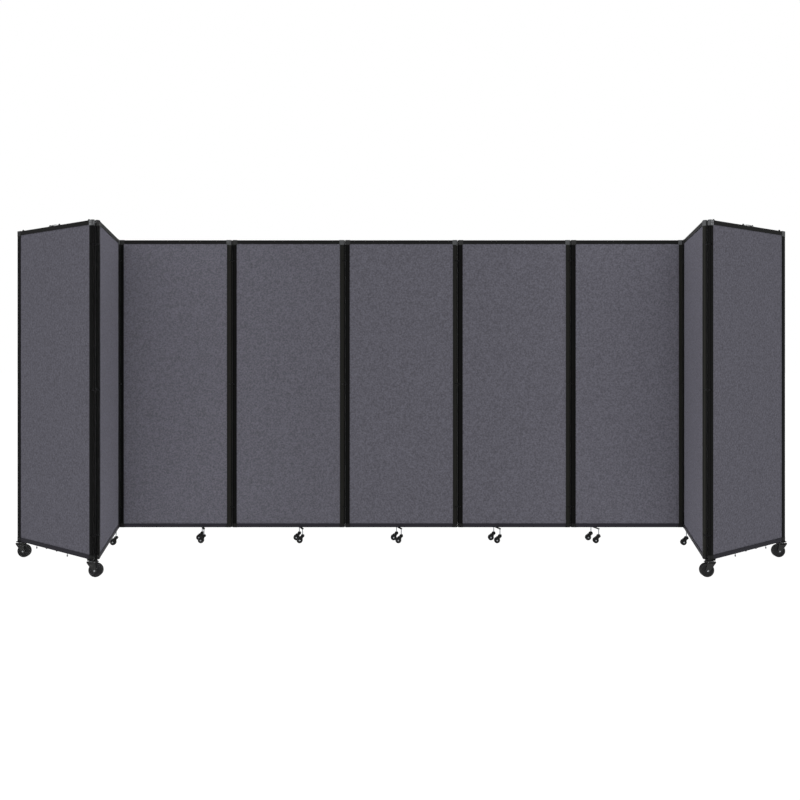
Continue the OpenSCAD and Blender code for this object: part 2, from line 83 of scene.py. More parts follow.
left_axis, right_axis = {}, {}
for k in range(1, 9):
    inner, outer = plan_point(f"fold_{k}_{k + 1}_inner"), plan_point(f"fold_{k}_{k + 1}_outer")
    right_axis[k], left_axis[k + 1] = (inner, outer) if k >= 5 else (outer, inner)


def heading_between(a, b):
    along = b - a
    return math.degrees(math.atan2(along.y, along.x))


heading = {i: heading_between(left_axis[i], right_axis[i]) for i in range(2, 9)}
heading[1] = heading[2] - END_FOLD
heading[9] = heading[8] + END_FOLD


def standing(point, degrees):
    """The frame of something that stands at a point of the plan, turned about the upright."""
    return Matrix.Translation((point.x, point.y, 0)) @ Matrix.Rotation(math.radians(degrees), 4, "Z")


def along(degrees, length):
    return Vector((math.cos(math.radians(degrees)), math.sin(math.radians(degrees)))) * length


panel_frame = {}
for i in PANELS:
    half = along(heading[i], SPAN / 2000)
    middle = right_axis[i] - half if i in right_axis else left_axis[i] + half
    panel_frame[i] = standing(middle, heading[i])
print("headings", {i: round(a, 1) for i, a in heading.items()})

# %% [markdown]
# ## The camera
# The photograph is a level, one-point view: every upright stays upright. The camera stands 1.44 m above
# the floor and 5.35 m in front of the straight run. Its lens gives a width of 112.5 pixels to each panel,
# and a small downward shift puts the horizon above the middle of the picture, as in the photograph.

# %% Camera
IMAGE_WIDTH = 800
FOCAL_PIXELS = 709.8
PRINCIPAL_X, HORIZON_Y = 401.3, 350.8
EYE_DISTANCE, EYE_HEIGHT = 5.35, 1.438
RUN_PLANE = left_axis[5].y
camera = bpy.data.objects.new("camera", bpy.data.cameras.new("camera"))
bpy.context.scene.collection.objects.link(camera)
bpy.context.scene.camera = camera
camera.data.sensor_width = 36
camera.data.lens = FOCAL_PIXELS / IMAGE_WIDTH * camera.data.sensor_width
camera.data.shift_x = (IMAGE_WIDTH / 2 - PRINCIPAL_X) / IMAGE_WIDTH
camera.data.shift_y = -(IMAGE_WIDTH / 2 - HORIZON_Y) / IMAGE_WIDTH
camera.location = (0, RUN_PLANE - EYE_DISTANCE, EYE_HEIGHT)
camera.rotation_euler = (math.radians(90), 0, 0)
print("lens", round(camera.data.lens, 2), "mm")

# %% [markdown]
# ## Drawing solids
# Almost every part of the wall is one of two things: a section pushed through a die or cut from plate, so
# a prism, or something turned on a lathe. Two small functions draw those into a bmesh, and a third turns
# the bmesh into a finished piece. A bevel modifier rounds the edges afterwards, because an edge without a
# radius never catches the light as a real one does.

# %% Points on arcs and rounded corners
def arc(x, y, radius, start, end, steps=8):
    """Points on an arc from one angle to another, both included."""
    angles = [math.radians(start + (end - start) * s / steps) for s in range(steps + 1)]
    return [(x + radius * math.cos(a), y + radius * math.sin(a)) for a in angles]


def rounded_rectangle(x0, y0, x1, y1, radius, steps=4):
    return (
        arc(x1 - radius, y0 + radius, radius, -90, 0, steps)
        + arc(x1 - radius, y1 - radius, radius, 0, 90, steps)
        + arc(x0 + radius, y1 - radius, radius, 90, 180, steps)
        + arc(x0 + radius, y0 + radius, radius, 180, 270, steps)
    )


def stadium(a, b, radius, steps=12):
    """The outline of a bar with round ends, from point a to point b."""
    turn = heading_between(Vector(a), Vector(b))
    return arc(*b, radius, turn - 90, turn + 90, steps) + arc(*a, radius, turn + 90, turn + 270, steps)


def curved_plate(x, z, inner, outer, start, end, steps):
    """The section of a plate bent round a centre, such as a hood or a lip."""
    return arc(x, z, outer, start, end, steps) + arc(x, z, inner, end, start, steps)


# %% Turned and mirrored frames
X_AXIS, Z_AXIS = (1, 0, 0), (0, 0, 1)
ALONG_X = Matrix(((0, 0, 1, 0), (1, 0, 0, 0), (0, 1, 0, 0), (0, 0, 0, 1)))
ON_EDGE = Matrix(((1, 0, 0, 0), (0, 0, -1, 0), (0, 1, 0, 0), (0, 0, 0, 1)))


def mirrored(axis, needed):
    """A mirror across an axis where one is needed, or no change."""
    return Matrix.Scale(-1, 4, axis) if needed else Matrix.Identity(4)


def facing_out(x, y, z, side):
    """A frame on one side face of a fork, with Z pointing outwards."""
    return Matrix.Translation((x, side * y, z)) @ Matrix.Rotation(math.radians(-90 * side), 4, "X")


# %% Prisms and turned shapes
def add_prism(bm, outline, low, high, at=Matrix(), finish=0):
    """Pushes an outline of (x, y) points from one height to another."""
    rings = [[bm.verts.new(at @ Vector((x, y, z))) for x, y in outline] for z in (low, high)]
    faces = [bm.faces.new(rings[0]), bm.faces.new(rings[1])]
    for s in range(len(outline)):
        faces.append(bm.faces.new((rings[0][s - 1], rings[0][s], rings[1][s], rings[1][s - 1])))
    for face in faces:
        face.material_index = finish


def add_turned(bm, profile, at=Matrix(), finish=0, steps=40, closed=False):
    """Turns a profile of (radius, height) points about the Z axis. A closed profile makes a ring."""
    rings = []
    for radius, height in profile:
        angles = [2 * math.pi * s / steps for s in range(steps)] if radius else [0]
        points = [Vector((radius * math.cos(a), radius * math.sin(a), height)) for a in angles]
        rings.append([bm.verts.new(at @ point) for point in points])
    for a, b in zip(rings, rings[1:] + rings[:1] if closed else rings[1:]):
        for s in range(steps):
            t = (s + 1) % steps
            corners = [a[s % len(a)], a[t % len(a)], b[t % len(b)], b[s % len(b)]]
            face = bm.faces.new(list(dict.fromkeys(corners)))
            face.material_index = finish


# %% Finished pieces
def make_piece(name, bm, finishes, at, body, stands_for, edge=0.4, sharp=35):
    """Scales a drawing to metres, sets it in place and lets it ride on its body."""
    bm.transform(at @ MILLIMETRES)
    bmesh.ops.recalc_face_normals(bm, faces=bm.faces)
    mesh = bpy.data.meshes.new(name)
    bm.to_mesh(mesh)
    bm.free()
    for finish in finishes:
        mesh.materials.append(finish)
    mesh.shade_smooth()
    mesh.set_sharp_from_angle(angle=math.radians(sharp))
    piece = bpy.data.objects.new(name, mesh)
    bpy.context.scene.collection.objects.link(piece)
    if edge:
        bevel = piece.modifiers.new("edge radius", "BEVEL")
        bevel.width = edge / 1000
        bevel.segments = 2
        bevel.limit_method = "ANGLE"
        bevel.angle_limit = math.radians(sharp)
        bevel.harden_normals = True
    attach(piece, body)
    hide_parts(*stands_for)
    return piece


def make_frame_piece(i, name, bm, finishes, at=None, edge=0.5):
    """A piece of a panel's frame, drawn in the panel's own frame unless another is given."""
    at = panel_frame[i] if at is None else at
    make_piece(name, bm, finishes, at, f"panel_{i}", [f"frame_{i}"], edge)


# %% [markdown]
# ## Finishes
# Every finish starts from what the real surface is and how it was made. Colours are given as sRGB hex
# values, the numbers that a colour picker shows, and one function turns them into the linear numbers that
# the renderer needs. Patterns are sized in millimetres: a noise of scale 1000 / s has blotches about
# s millimetres across, because one Blender unit is a metre.

# %% Colours and nodes
def linear(code):
    """Turns an sRGB hex code into linear red, green, blue and alpha."""
    parts = [int(code[s : s + 2], 16) / 255 for s in (1, 3, 5)]
    return (*(c / 12.92 if c <= 0.04045 else ((c + 0.055) / 1.055) ** 2.4 for c in parts), 1)


def lightened(code, times):
    return [part * times for part in linear(code)[:3]] + [1]


def add_node(material, kind, inputs=(), **settings):
    """Adds a node. Each input is a value, or another node's output to link."""
    tree = material.node_tree
    node = tree.nodes.new(kind)
    for name, value in settings.items():
        setattr(node, name, value)
    for name, value in dict(inputs).items():
        if isinstance(value, bpy.types.NodeSocket):
            tree.links.new(value, node.inputs[name])
        else:
            node.inputs[name].default_value = value
    return node


def blotches(size_mm):
    return 1000 / size_mm


# %% New materials
def new_finish(name, **shader):
    """A material, its shader, and a coordinate that stays on the piece as it moves."""
    material = bpy.data.materials.new(name)
    material.use_nodes = True
    material.node_tree.nodes.clear()
    sockets = {name.replace("_", " "): value for name, value in shader.items()}
    surface = add_node(material, "ShaderNodeBsdfPrincipled", sockets)
    add_node(material, "ShaderNodeOutputMaterial", {"Surface": surface.outputs["BSDF"]})
    place = add_node(material, "ShaderNodeTexCoord").outputs["Object"]
    return material, surface, place


def wire(material, surface, name, output):
    material.node_tree.links.new(output, surface.inputs[name])


# %% [markdown]
# ### Heathered polyester felt
# The panels are covered with needle-punched polyester felt. Its fibres are dyed in two slate tones before
# they are mixed, so up close it is speckled and from afar it is an even slate grey with a hint of purple.
# Three sizes of noise make that: clumps of about 11 mm, which are the ones that still show from across a
# room, tufts of 3 mm, and single fibres, drawn 0.7 mm thick because real ones are too fine to show. Felt
# has no gloss, so its specular level is zero, and a faint relief of tufts and fibres stands for the fuzz.

# %% Felt colours
felt, felt_surface, felt_place = new_finish(
    "heathered_polyester_felt", Roughness=0.96, Specular_IOR_Level=0.0
)
FELT_DARK, FELT_LIGHT = "#46454b", "#605f68"


def felt_noise(size_mm, detail):
    inputs = {"Vector": felt_place, "Scale": blotches(size_mm), "Detail": detail}
    return add_node(felt, "ShaderNodeTexNoise", inputs).outputs["Fac"]


clumps, tufts, fibres = felt_noise(11, 1), felt_noise(3, 2), felt_noise(0.7, 2)
tufts_in_clumps = add_node(felt, "ShaderNodeMix", {"Factor": 0.35, "A": clumps, "B": tufts})
heather = add_node(
    felt, "ShaderNodeMix", {"Factor": 0.25, "A": tufts_in_clumps.outputs["Result"], "B": fibres}
)
felt_colour = add_node(felt, "ShaderNodeValToRGB", {"Fac": heather.outputs["Result"]})
felt_colour.color_ramp.elements[0].position = 0.36
felt_colour.color_ramp.elements[0].color = linear(FELT_DARK)
felt_colour.color_ramp.elements[1].position = 0.64
felt_colour.color_ramp.elements[1].color = linear(FELT_LIGHT)
wire(felt, felt_surface, "Base Color", felt_colour.outputs["Color"])

# %% Felt surface
felt_fuzz = add_node(felt, "ShaderNodeMix", {"Factor": 0.5, "A": tufts, "B": fibres})
felt_relief = add_node(
    felt, "ShaderNodeBump", {"Strength": 0.35, "Distance": 0.0006, "Height": felt_fuzz.outputs["Result"]}
)
wire(felt, felt_surface, "Normal", felt_relief.outputs["Normal"])
print("felt", FELT_DARK, "to", FELT_LIGHT)

# %% [markdown]
# ### Powder-coated aluminium
# The stiles and rails are extruded aluminium with a black powder coat. The powder melts into a skin with
# a faint orange peel, about 2 mm from dimple to dimple, so highlights are soft and slightly broken. The
# coat is a polymer, so it isn't metallic. Handling leaves broad patches, about 160 mm wide, where it is a
# little dustier and duller. The same coat is painted a little lighter on one stile of each hinge and on the
# top rails, and lightest on the bottom rails: painted light, for the light that these parts catch.

# %% Powder coats
def powder_coat(name, colour):
    material, surface, place = new_finish(name, Specular_IOR_Level=0.03)
    peel = add_node(material, "ShaderNodeTexNoise", {"Vector": place, "Scale": blotches(2), "Detail": 1.0})
    relief = add_node(
        material, "ShaderNodeBump", {"Strength": 0.15, "Distance": 0.0003, "Height": peel.outputs["Fac"]}
    )
    handling = add_node(
        material, "ShaderNodeTexNoise", {"Vector": place, "Scale": blotches(160), "Detail": 3.0}
    )
    worn = add_node(
        material, "ShaderNodeMapRange", {"Value": handling.outputs["Fac"], "To Min": 0.48, "To Max": 0.64}
    )
    dust = add_node(material, "ShaderNodeValToRGB", {"Fac": handling.outputs["Fac"]})
    dust.color_ramp.elements[0].color = linear(colour)
    dust.color_ramp.elements[1].color = lightened(colour, 1.35)
    wire(material, surface, "Base Color", dust.outputs["Color"])
    wire(material, surface, "Roughness", worn.outputs["Result"])
    wire(material, surface, "Normal", relief.outputs["Normal"])
    return material


coat_dark = powder_coat("black_powder_coat", "#080808")
# Lighter copies of the same coat: painted light on one stile of each hinge, on the top rails and, lightest,
# on the bottom rails.
coat_painted_lighter_stile = powder_coat("black_powder_coat_painted_lighter_on_stile", "#181816")
coat_painted_lighter_top_rail = powder_coat("black_powder_coat_painted_lighter_on_top_rail", "#161616")
coat_painted_lightest_bottom_rail = powder_coat("black_powder_coat_painted_lightest_on_bottom_rail", "#232227")
print("powder coats", [coat.name for coat in (coat_dark, coat_painted_lighter_stile, coat_painted_lighter_top_rail, coat_painted_lightest_bottom_rail)])

# %% [markdown]
# ### Moulded nylon
# Corner pieces, forks, wheel centres and pedals are moulded in glass-filled nylon. The mould leaves a fine
# spark-eroded grain, drawn 1 mm from peak to peak because the real one is too fine to show, and the glass
# clouds the colour a little. The colour goes from black on the small parts to mid grey on the front pads;
# the lighter greys of the top corner pieces are painted light, and the mid grey pads are a painted highlight.

# %% Nylons
def moulded_nylon(name, colour, roughness=0.5):
    material, surface, place = new_finish(name, Roughness=roughness, Specular_IOR_Level=0.06)
    grain = add_node(material, "ShaderNodeTexNoise", {"Vector": place, "Scale": blotches(1), "Detail": 2.0})
    relief = add_node(
        material, "ShaderNodeBump", {"Strength": 0.2, "Distance": 0.0002, "Height": grain.outputs["Fac"]}
    )
    clouds = add_node(material, "ShaderNodeTexNoise", {"Vector": place, "Scale": blotches(14), "Detail": 2.0})
    tint = add_node(material, "ShaderNodeValToRGB", {"Fac": clouds.outputs["Fac"]})
    tint.color_ramp.elements[0].position = 0.3
    tint.color_ramp.elements[0].color = linear(colour)
    tint.color_ramp.elements[1].position = 0.75
    tint.color_ramp.elements[1].color = lightened(colour, 1.25)
    wire(material, surface, "Base Color", tint.outputs["Color"])
    wire(material, surface, "Normal", relief.outputs["Normal"])
    return material


nylon_black = moulded_nylon("glass_filled_nylon_black", "#161616")
nylon_charcoal = moulded_nylon("glass_filled_nylon_charcoal", "#272727")
nylon_grey = moulded_nylon("glass_filled_nylon_dark_grey", "#424344")
# Mid grey only for the pads of the front top corner pieces: a painted highlight.
nylon_painted_highlight = moulded_nylon("glass_filled_nylon_mid_grey_painted_highlight", "#68696b", 0.45)
hub_black = moulded_nylon("nylon_wheel_centre", "#1c1c1d", 0.45)
nylons = [nylon_black, nylon_charcoal, nylon_grey, nylon_painted_highlight, hub_black]
print("nylons", [nylon.name for nylon in nylons])

# %% [markdown]
# ### Rubber, zinc and anodised strip
# The tyres are soft rubber, nearly black and dull, with scuffs of about 5 mm. Stems, bolts and races are
# steel with bright zinc plating: metallic, pale, with fine streaks from the turning. The hinge strips are
# anodised, which keeps some of the metal's soft shine under a black dye, with die lines along them.

# %% Rubber
rubber, rubber_surface, rubber_place = new_finish("grey_black_rubber", Specular_IOR_Level=0.1)
scuffs = add_node(rubber, "ShaderNodeTexNoise", {"Vector": rubber_place, "Scale": blotches(5), "Detail": 4.0})
scuffed = add_node(rubber, "ShaderNodeValToRGB", {"Fac": scuffs.outputs["Fac"]})
scuffed.color_ramp.elements[0].position = 0.35
scuffed.color_ramp.elements[0].color = linear("#161616")
scuffed.color_ramp.elements[1].position = 0.8
scuffed.color_ramp.elements[1].color = linear("#2c2c2d")
dulled = add_node(
    rubber, "ShaderNodeMapRange", {"Value": scuffs.outputs["Fac"], "To Min": 0.55, "To Max": 0.8}
)
wire(rubber, rubber_surface, "Base Color", scuffed.outputs["Color"])
wire(rubber, rubber_surface, "Roughness", dulled.outputs["Result"])

# %% Zinc-plated steel
zinc, zinc_surface, zinc_place = new_finish("zinc_plated_steel", Metallic=1.0)
streaked = add_node(zinc, "ShaderNodeMapping", {"Vector": zinc_place, "Scale": (1, 1, 12)})
streaks = add_node(
    zinc, "ShaderNodeTexNoise", {"Vector": streaked.outputs["Vector"], "Scale": blotches(4), "Detail": 2.0}
)
plated = add_node(zinc, "ShaderNodeValToRGB", {"Fac": streaks.outputs["Fac"]})
plated.color_ramp.elements[0].color = linear("#7d8083")
plated.color_ramp.elements[1].color = linear("#a2a4a7")
brushed = add_node(
    zinc, "ShaderNodeMapRange", {"Value": streaks.outputs["Fac"], "To Min": 0.28, "To Max": 0.48}
)
wire(zinc, zinc_surface, "Base Color", plated.outputs["Color"])
wire(zinc, zinc_surface, "Roughness", brushed.outputs["Result"])

# %% Anodised aluminium
anodised, anodised_surface, anodised_place = new_finish(
    "black_anodised_aluminium", Metallic=0.3, Specular_IOR_Level=0.03
)
drawn = add_node(anodised, "ShaderNodeMapping", {"Vector": anodised_place, "Scale": (1, 1, 0.02)})
die_lines = add_node(
    anodised, "ShaderNodeTexNoise", {"Vector": drawn.outputs["Vector"], "Scale": blotches(1), "Detail": 1.0}
)
dyed = add_node(anodised, "ShaderNodeValToRGB", {"Fac": die_lines.outputs["Fac"]})
dyed.color_ramp.elements[0].color = linear("#0e0e0e")
dyed.color_ramp.elements[1].color = linear("#181819")
satin = add_node(
    anodised, "ShaderNodeMapRange", {"Value": die_lines.outputs["Fac"], "To Min": 0.34, "To Max": 0.5}
)
wire(anodised, anodised_surface, "Base Color", dyed.outputs["Color"])
wire(anodised, anodised_surface, "Roughness", satin.outputs["Result"])

# %% [markdown]
# The pull straps are woven from pale grey polyester. Its diagonal ribs are about 2 mm apart, and a wave
# texture draws them, in colour and in relief.

# %% Woven webbing
webbing, webbing_surface, webbing_place = new_finish("light_grey_webbing", Roughness=0.8)
WAVES_PER_UNIT = 6.3
threads = add_node(
    webbing,
    "ShaderNodeTexWave",
    {"Vector": webbing_place, "Scale": blotches(2) / WAVES_PER_UNIT, "Distortion": 1.5},
    bands_direction="DIAGONAL",
)
woven = add_node(webbing, "ShaderNodeValToRGB", {"Fac": threads.outputs["Fac"]})
woven.color_ramp.elements[0].color = linear("#a9abad")
woven.color_ramp.elements[1].color = linear("#d2d3d5")
woven_relief = add_node(
    webbing, "ShaderNodeBump", {"Strength": 0.3, "Distance": 0.0004, "Height": threads.outputs["Fac"]}
)
wire(webbing, webbing_surface, "Base Color", woven.outputs["Color"])
wire(webbing, webbing_surface, "Normal", woven_relief.outputs["Normal"])
print("rubber, zinc, anodised strip and webbing made")

# %% [markdown]
# ## Felt panels
# A panel is a stiff board wrapped in felt, held in a groove all round. It looks flat, but the felt rolls
# inwards where it enters the groove, and its thin foam backing lets it swell half a millimetre in the
# middle. A grid with close lines near its edges holds that shape: the thickness of each point follows
# from its distance to the nearest edge. It needs no cloth simulation, because the board keeps it flat.

# %% The felt panel's shape
BITE = 10.0
OPENING = SPAN / 2 - STILE_REACH
END_OPENING = OUTER_EDGE - POST_WIDTH
EDGE_LINES = [0, 8.5, 9.5, 11, 13, 16, 21, 30, 45]
TUCKED, ROLL, CROWN, WAVES = 7.3, 1.5, 0.5, 0.12


def opening_sides(i):
    """Where a panel's frame opening starts and ends. The posts leave the end panels a wider one."""
    return -END_OPENING if i == 1 else -OPENING, END_OPENING if i == 9 else OPENING


def smooth_step(x):
    x = min(max(x, 0), 1)
    return x * x * (3 - 2 * x)


def felt_half_thickness(u, v, width, height, seed):
    """Half the panel's thickness at a point, in mm: tucked in at the groove, then gently crowned."""
    inset = min(u, v, width - u, height - v)
    rolled = TUCKED + ROLL * smooth_step((inset - 8) / 16)
    crown = CROWN * math.sin(math.pi * u / width) * math.sin(math.pi * v / height)
    waves = math.sin(u / 71 + seed) * math.sin(v / 113 + 2 * seed) + 0.6 * math.sin(u / 37 + v / 59 + seed)
    return rolled + crown + WAVES * waves * smooth_step((inset - 16) / 60)


def grid_lines(length, spacing):
    inner = length - 2 * EDGE_LINES[-1]
    count = round(inner / spacing)
    middle = [EDGE_LINES[-1] + inner * s / count for s in range(1, count)]
    return EDGE_LINES + middle + [length - e for e in reversed(EDGE_LINES)]


# %% Make the felt panels
def felt_panel(i):
    left, right = opening_sides(i)
    width, height = right - left + 2 * BITE, PANEL_HEIGHT - 2 * RAIL_HEIGHT + 2 * BITE
    across, up = grid_lines(width, 42), grid_lines(height, 60)
    bm = bmesh.new()
    sides = []
    for side in (-1, 1):
        grid = []
        for v in up:
            row = []
            for u in across:
                y = side * felt_half_thickness(u, v, width, height, i + side)
                row.append(bm.verts.new((left - BITE + u, y, CLEARANCE + RAIL_HEIGHT - BITE + v)))
            grid.append(row)
        sides.append(grid)
        for r in range(len(up) - 1):
            for c in range(len(across) - 1):
                bm.faces.new((grid[r][c], grid[r][c + 1], grid[r + 1][c + 1], grid[r + 1][c]))
    rims = [
        (sides[0][0], sides[1][0]),
        (sides[0][-1], sides[1][-1]),
        ([row[0] for row in sides[0]], [row[0] for row in sides[1]]),
        ([row[-1] for row in sides[0]], [row[-1] for row in sides[1]]),
    ]
    for front, back in rims:
        for s in range(len(front) - 1):
            bm.faces.new((front[s], front[s + 1], back[s + 1], back[s]))
    name, at = f"felt_panel_{i}", panel_frame[i]
    piece = make_piece(name, bm, [felt], at, f"panel_{i}", [f"fabric_{i}"], edge=0, sharp=60)


for i in PANELS:
    felt_panel(i)
print("felt panels", len(PANELS), "each", round(2 * OPENING), "mm wide in its opening")

# %% [markdown]
# ## Stiles
# A hinged stile is one extrusion: a round nose on the hinge axis, two flats, and a groove for the felt
# panel. Three notches let the knuckle plates of the hinge reach the rod inside the nose. A prism with the
# notches left out would need a boolean, so the stile is built level by level instead: every level has the
# same points, and the nose's faces are simply missing between the two levels of a notch.

# %% The hinged stile
GROOVE_HALF = 8.3
GROOVE_DEPTH = 12.0
KNUCKLE_RADIUS = 8.0
KNUCKLE_HEIGHT = 8.0
KNUCKLE_PLAY = 0.4
KNUCKLE_END = 150.0
KNUCKLES = [
    CLEARANCE + KNUCKLE_END,
    CLEARANCE + (PANEL_HEIGHT - KNUCKLE_HEIGHT) / 2,
    TOP - KNUCKLE_END - KNUCKLE_HEIGHT,
]
CAP_HEIGHT = 35.0
CAP_LAP = 4.0
SEAM = 0.04


def grooved_side(reach):
    """The side towards the felt: two narrow flats with the groove between them."""
    return [
        (-reach, NOSE),
        (-reach, GROOVE_HALF),
        (GROOVE_DEPTH - reach, GROOVE_HALF),
        (GROOVE_DEPTH - reach, -GROOVE_HALF),
        (-reach, -GROOVE_HALF),
        (-reach, -NOSE),
    ]


def add_hinged_stile(bm, low, high):
    notch = -(KNUCKLE_RADIUS + KNUCKLE_PLAY)
    nose = [(notch, -NOSE)] + arc(0, 0, NOSE, -90, 90, 16) + [(notch, NOSE)]
    outline = nose + grooved_side(STILE_REACH)
    levels = [low]
    for z in KNUCKLES:
        levels += [z - KNUCKLE_PLAY, z + KNUCKLE_HEIGHT + KNUCKLE_PLAY]
    levels.append(high)
    rings = [[bm.verts.new((x, y, z)) for x, y in outline] for z in levels]
    last = len(nose) - 1
    for level, (a, b) in enumerate(zip(rings, rings[1:])):
        notched = level % 2 == 1
        for s in range(len(outline)):
            t = (s + 1) % len(outline)
            if not (notched and s < last):
                bm.faces.new((a[s], a[t], b[t], b[s]))
        if notched:
            bm.faces.new((a[0], a[last], b[last], b[0]))
            bm.faces.new(a[: last + 1])
            bm.faces.new(b[: last + 1])
    bm.faces.new(rings[0])
    bm.faces.new(rings[-1])


# %% [markdown]
# The outer edge of each end panel has a plain post instead, with rounded outer corners. Both kinds are
# drawn with the fabric towards -X, so a mirror serves the left-hand side.

# %% Make the stiles and posts
def side_frame(i, right):
    """The frame of a panel's side piece, drawn with the fabric towards -X."""
    plain = i == (9 if right else 1)
    reach = OUTER_EDGE if plain else SPAN / 2
    shift = Matrix.Translation((reach / 1000, 0, 0))
    return plain, panel_frame[i] @ mirrored(X_AXIS, not right) @ shift


POST_RADIUS = 4.0


def post_front(half):
    """The outer side of a post, with its two rounded corners."""
    lower = arc(-POST_RADIUS, POST_RADIUS - half, POST_RADIUS, -90, 0, 5)
    return lower + arc(-POST_RADIUS, half - POST_RADIUS, POST_RADIUS, 0, 90, 5)


post_outline = post_front(NOSE) + grooved_side(POST_WIDTH)
stile_low = CLEARANCE + RAIL_HEIGHT + SEAM
stile_high = TOP - CAP_HEIGHT - SEAM
for i in PANELS:
    for right in (False, True):
        plain, at = side_frame(i, right)
        bm = bmesh.new()
        if plain:
            add_prism(bm, post_outline, stile_low, stile_high)
        else:
            add_hinged_stile(bm, stile_low, stile_high)
        name = f"{'post' if plain else 'stile'}_{'right' if right else 'left'}_{i}"
        # The right-hand stiles of the inner panels take the coat painted lighter: painted light.
        coat = coat_painted_lighter_stile if right and i in range(2, 9) else coat_dark
        make_frame_piece(i, name, bm, [coat], at)
print("stiles and posts from", round(stile_low), "to", round(stile_high), "mm")

# %% [markdown]
# ## Rails
# The rails are the same extrusion above and below, turned over: a groove towards the felt and rounded
# outer edges. The section is drawn across the rail and pushed along it.

# %% Make the rails
RAIL_RADIUS = 2.5
rail_outline = (
    arc(NOSE - RAIL_RADIUS, RAIL_HEIGHT - RAIL_RADIUS, RAIL_RADIUS, 0, 90, 5)
    + arc(RAIL_RADIUS - NOSE, RAIL_HEIGHT - RAIL_RADIUS, RAIL_RADIUS, 90, 180, 5)
    + [
        (-NOSE, 0),
        (-GROOVE_HALF, 0),
        (-GROOVE_HALF, GROOVE_DEPTH),
        (GROOVE_HALF, GROOVE_DEPTH),
        (GROOVE_HALF, 0),
        (NOSE, 0),
    ]
)
for i in PANELS:
    left, right = opening_sides(i)
    start, end = left + CAP_LAP + SEAM, right - CAP_LAP - SEAM
    for top in (False, True):
        level = Matrix.Translation((0, 0, TOP - RAIL_HEIGHT if top else CLEARANCE + RAIL_HEIGHT))
        bm = bmesh.new()
        add_prism(bm, rail_outline, start, end, level @ mirrored(Z_AXIS, not top) @ ALONG_X)
        # The rails take copies of the coat painted lighter, the bottom ones lightest: painted light.
        make_frame_piece(i, f"rail_{'top' if top else 'bottom'}_{i}", bm, [coat_painted_lighter_top_rail if top else coat_painted_lightest_bottom_rail])
print("rails", round(end - start), "mm long")

# %% [markdown]
# ## Corner pieces
# A moulded corner piece keys into each rail and covers the end of its stile. It stands a little proud, and
# its faces have four raised pads with a cross-shaped gap between them. All corner pieces are one moulding,
# and the tones of the top ones are painted light: those at the wall's front edges are painted lightest, with
# mid grey pads as a painted highlight. Of the other top ones, the right-hand one of each panel is painted
# dark grey and the left-hand one charcoal. The bottom ones are black.

# %% The corner piece's shape
PROUD = 0.8
RISE = 1.6
CAP_HALF = NOSE + PROUD
PAD_GAP, PAD_MARGIN, PAD_RISE, PAD_ROOT = 3.0, 2.0, 0.7, 0.3


def corner_outline(plain):
    front = post_front(CAP_HALF) if plain else arc(0, 0, CAP_HALF, -90, 90, 16)
    reach = CAP_LAP + (POST_WIDTH if plain else STILE_REACH)
    return front + [(-reach, CAP_HALF), (-reach, -CAP_HALF)]


def add_pads(bm, plain, low, high):
    """Four raised pads on each face, with a cross between them."""
    x0, x1 = (-POST_WIDTH - 1, -POST_RADIUS - 1) if plain else (-STILE_REACH - 2, 1.5)
    z0, z1 = low + PAD_MARGIN, high - PAD_MARGIN
    xm, zm, half_gap = (x0 + x1) / 2, (z0 + z1) / 2, PAD_GAP / 2
    for side in (-1, 1):
        turn = Matrix(((1, 0, 0, 0), (0, 0, side, side * CAP_HALF), (0, 1, 0, 0), (0, 0, 0, 1)))
        for a, b in ((x0, xm - half_gap), (xm + half_gap, x1)):
            for c, d in ((z0, zm - half_gap), (zm + half_gap, z1)):
                add_prism(bm, rounded_rectangle(a, c, b, d, 1.2, 3), -PAD_ROOT, PAD_RISE, turn, finish=1)


# %% Make the corner pieces
def corner_finishes_with_painted_light(i, right, top):
    """The finish of the body and of the pads; the top ones are painted lighter as painted light."""
    # The top ones at the wall's front edges are painted lightest, with a painted highlight on the pads.
    if top and (i, right) in ((1, True), (9, False)):
        return [nylon_grey, nylon_painted_highlight]
    # The other top ones are painted dark grey on the right and charcoal on the left as painted light; the
    # bottom ones are black.
    body = (nylon_grey if right else nylon_charcoal) if top else nylon_black
    return [body, body]


for i in PANELS:
    for right in (False, True):
        plain, at = side_frame(i, right)
        for top in (False, True):
            low = TOP - CAP_HEIGHT if top else CLEARANCE
            high = TOP + RISE if top else CLEARANCE + RAIL_HEIGHT
            bm = bmesh.new()
            add_prism(bm, corner_outline(plain), low, high)
            add_pads(bm, plain, low, high)
            name = f"corner_{'top' if top else 'bottom'}_{'right' if right else 'left'}_{i}"
            make_frame_piece(i, name, bm, corner_finishes_with_painted_light(i, right, top), at, edge=0.6)
print("corner pieces", 4 * len(PANELS), "each with 8 pads")

# %% [markdown]
# ## Double-acting hinges
# Between two noses runs a strip as deep as the frame. It fills the gap, and is thinner beside the corner
# pieces, so that their pads pass it at the limits of a fold. Three plates cross it, and a rod passes
# through each end of every plate and up inside the stiles. Each panel can turn about its own rod, so the
# wall folds to either side.

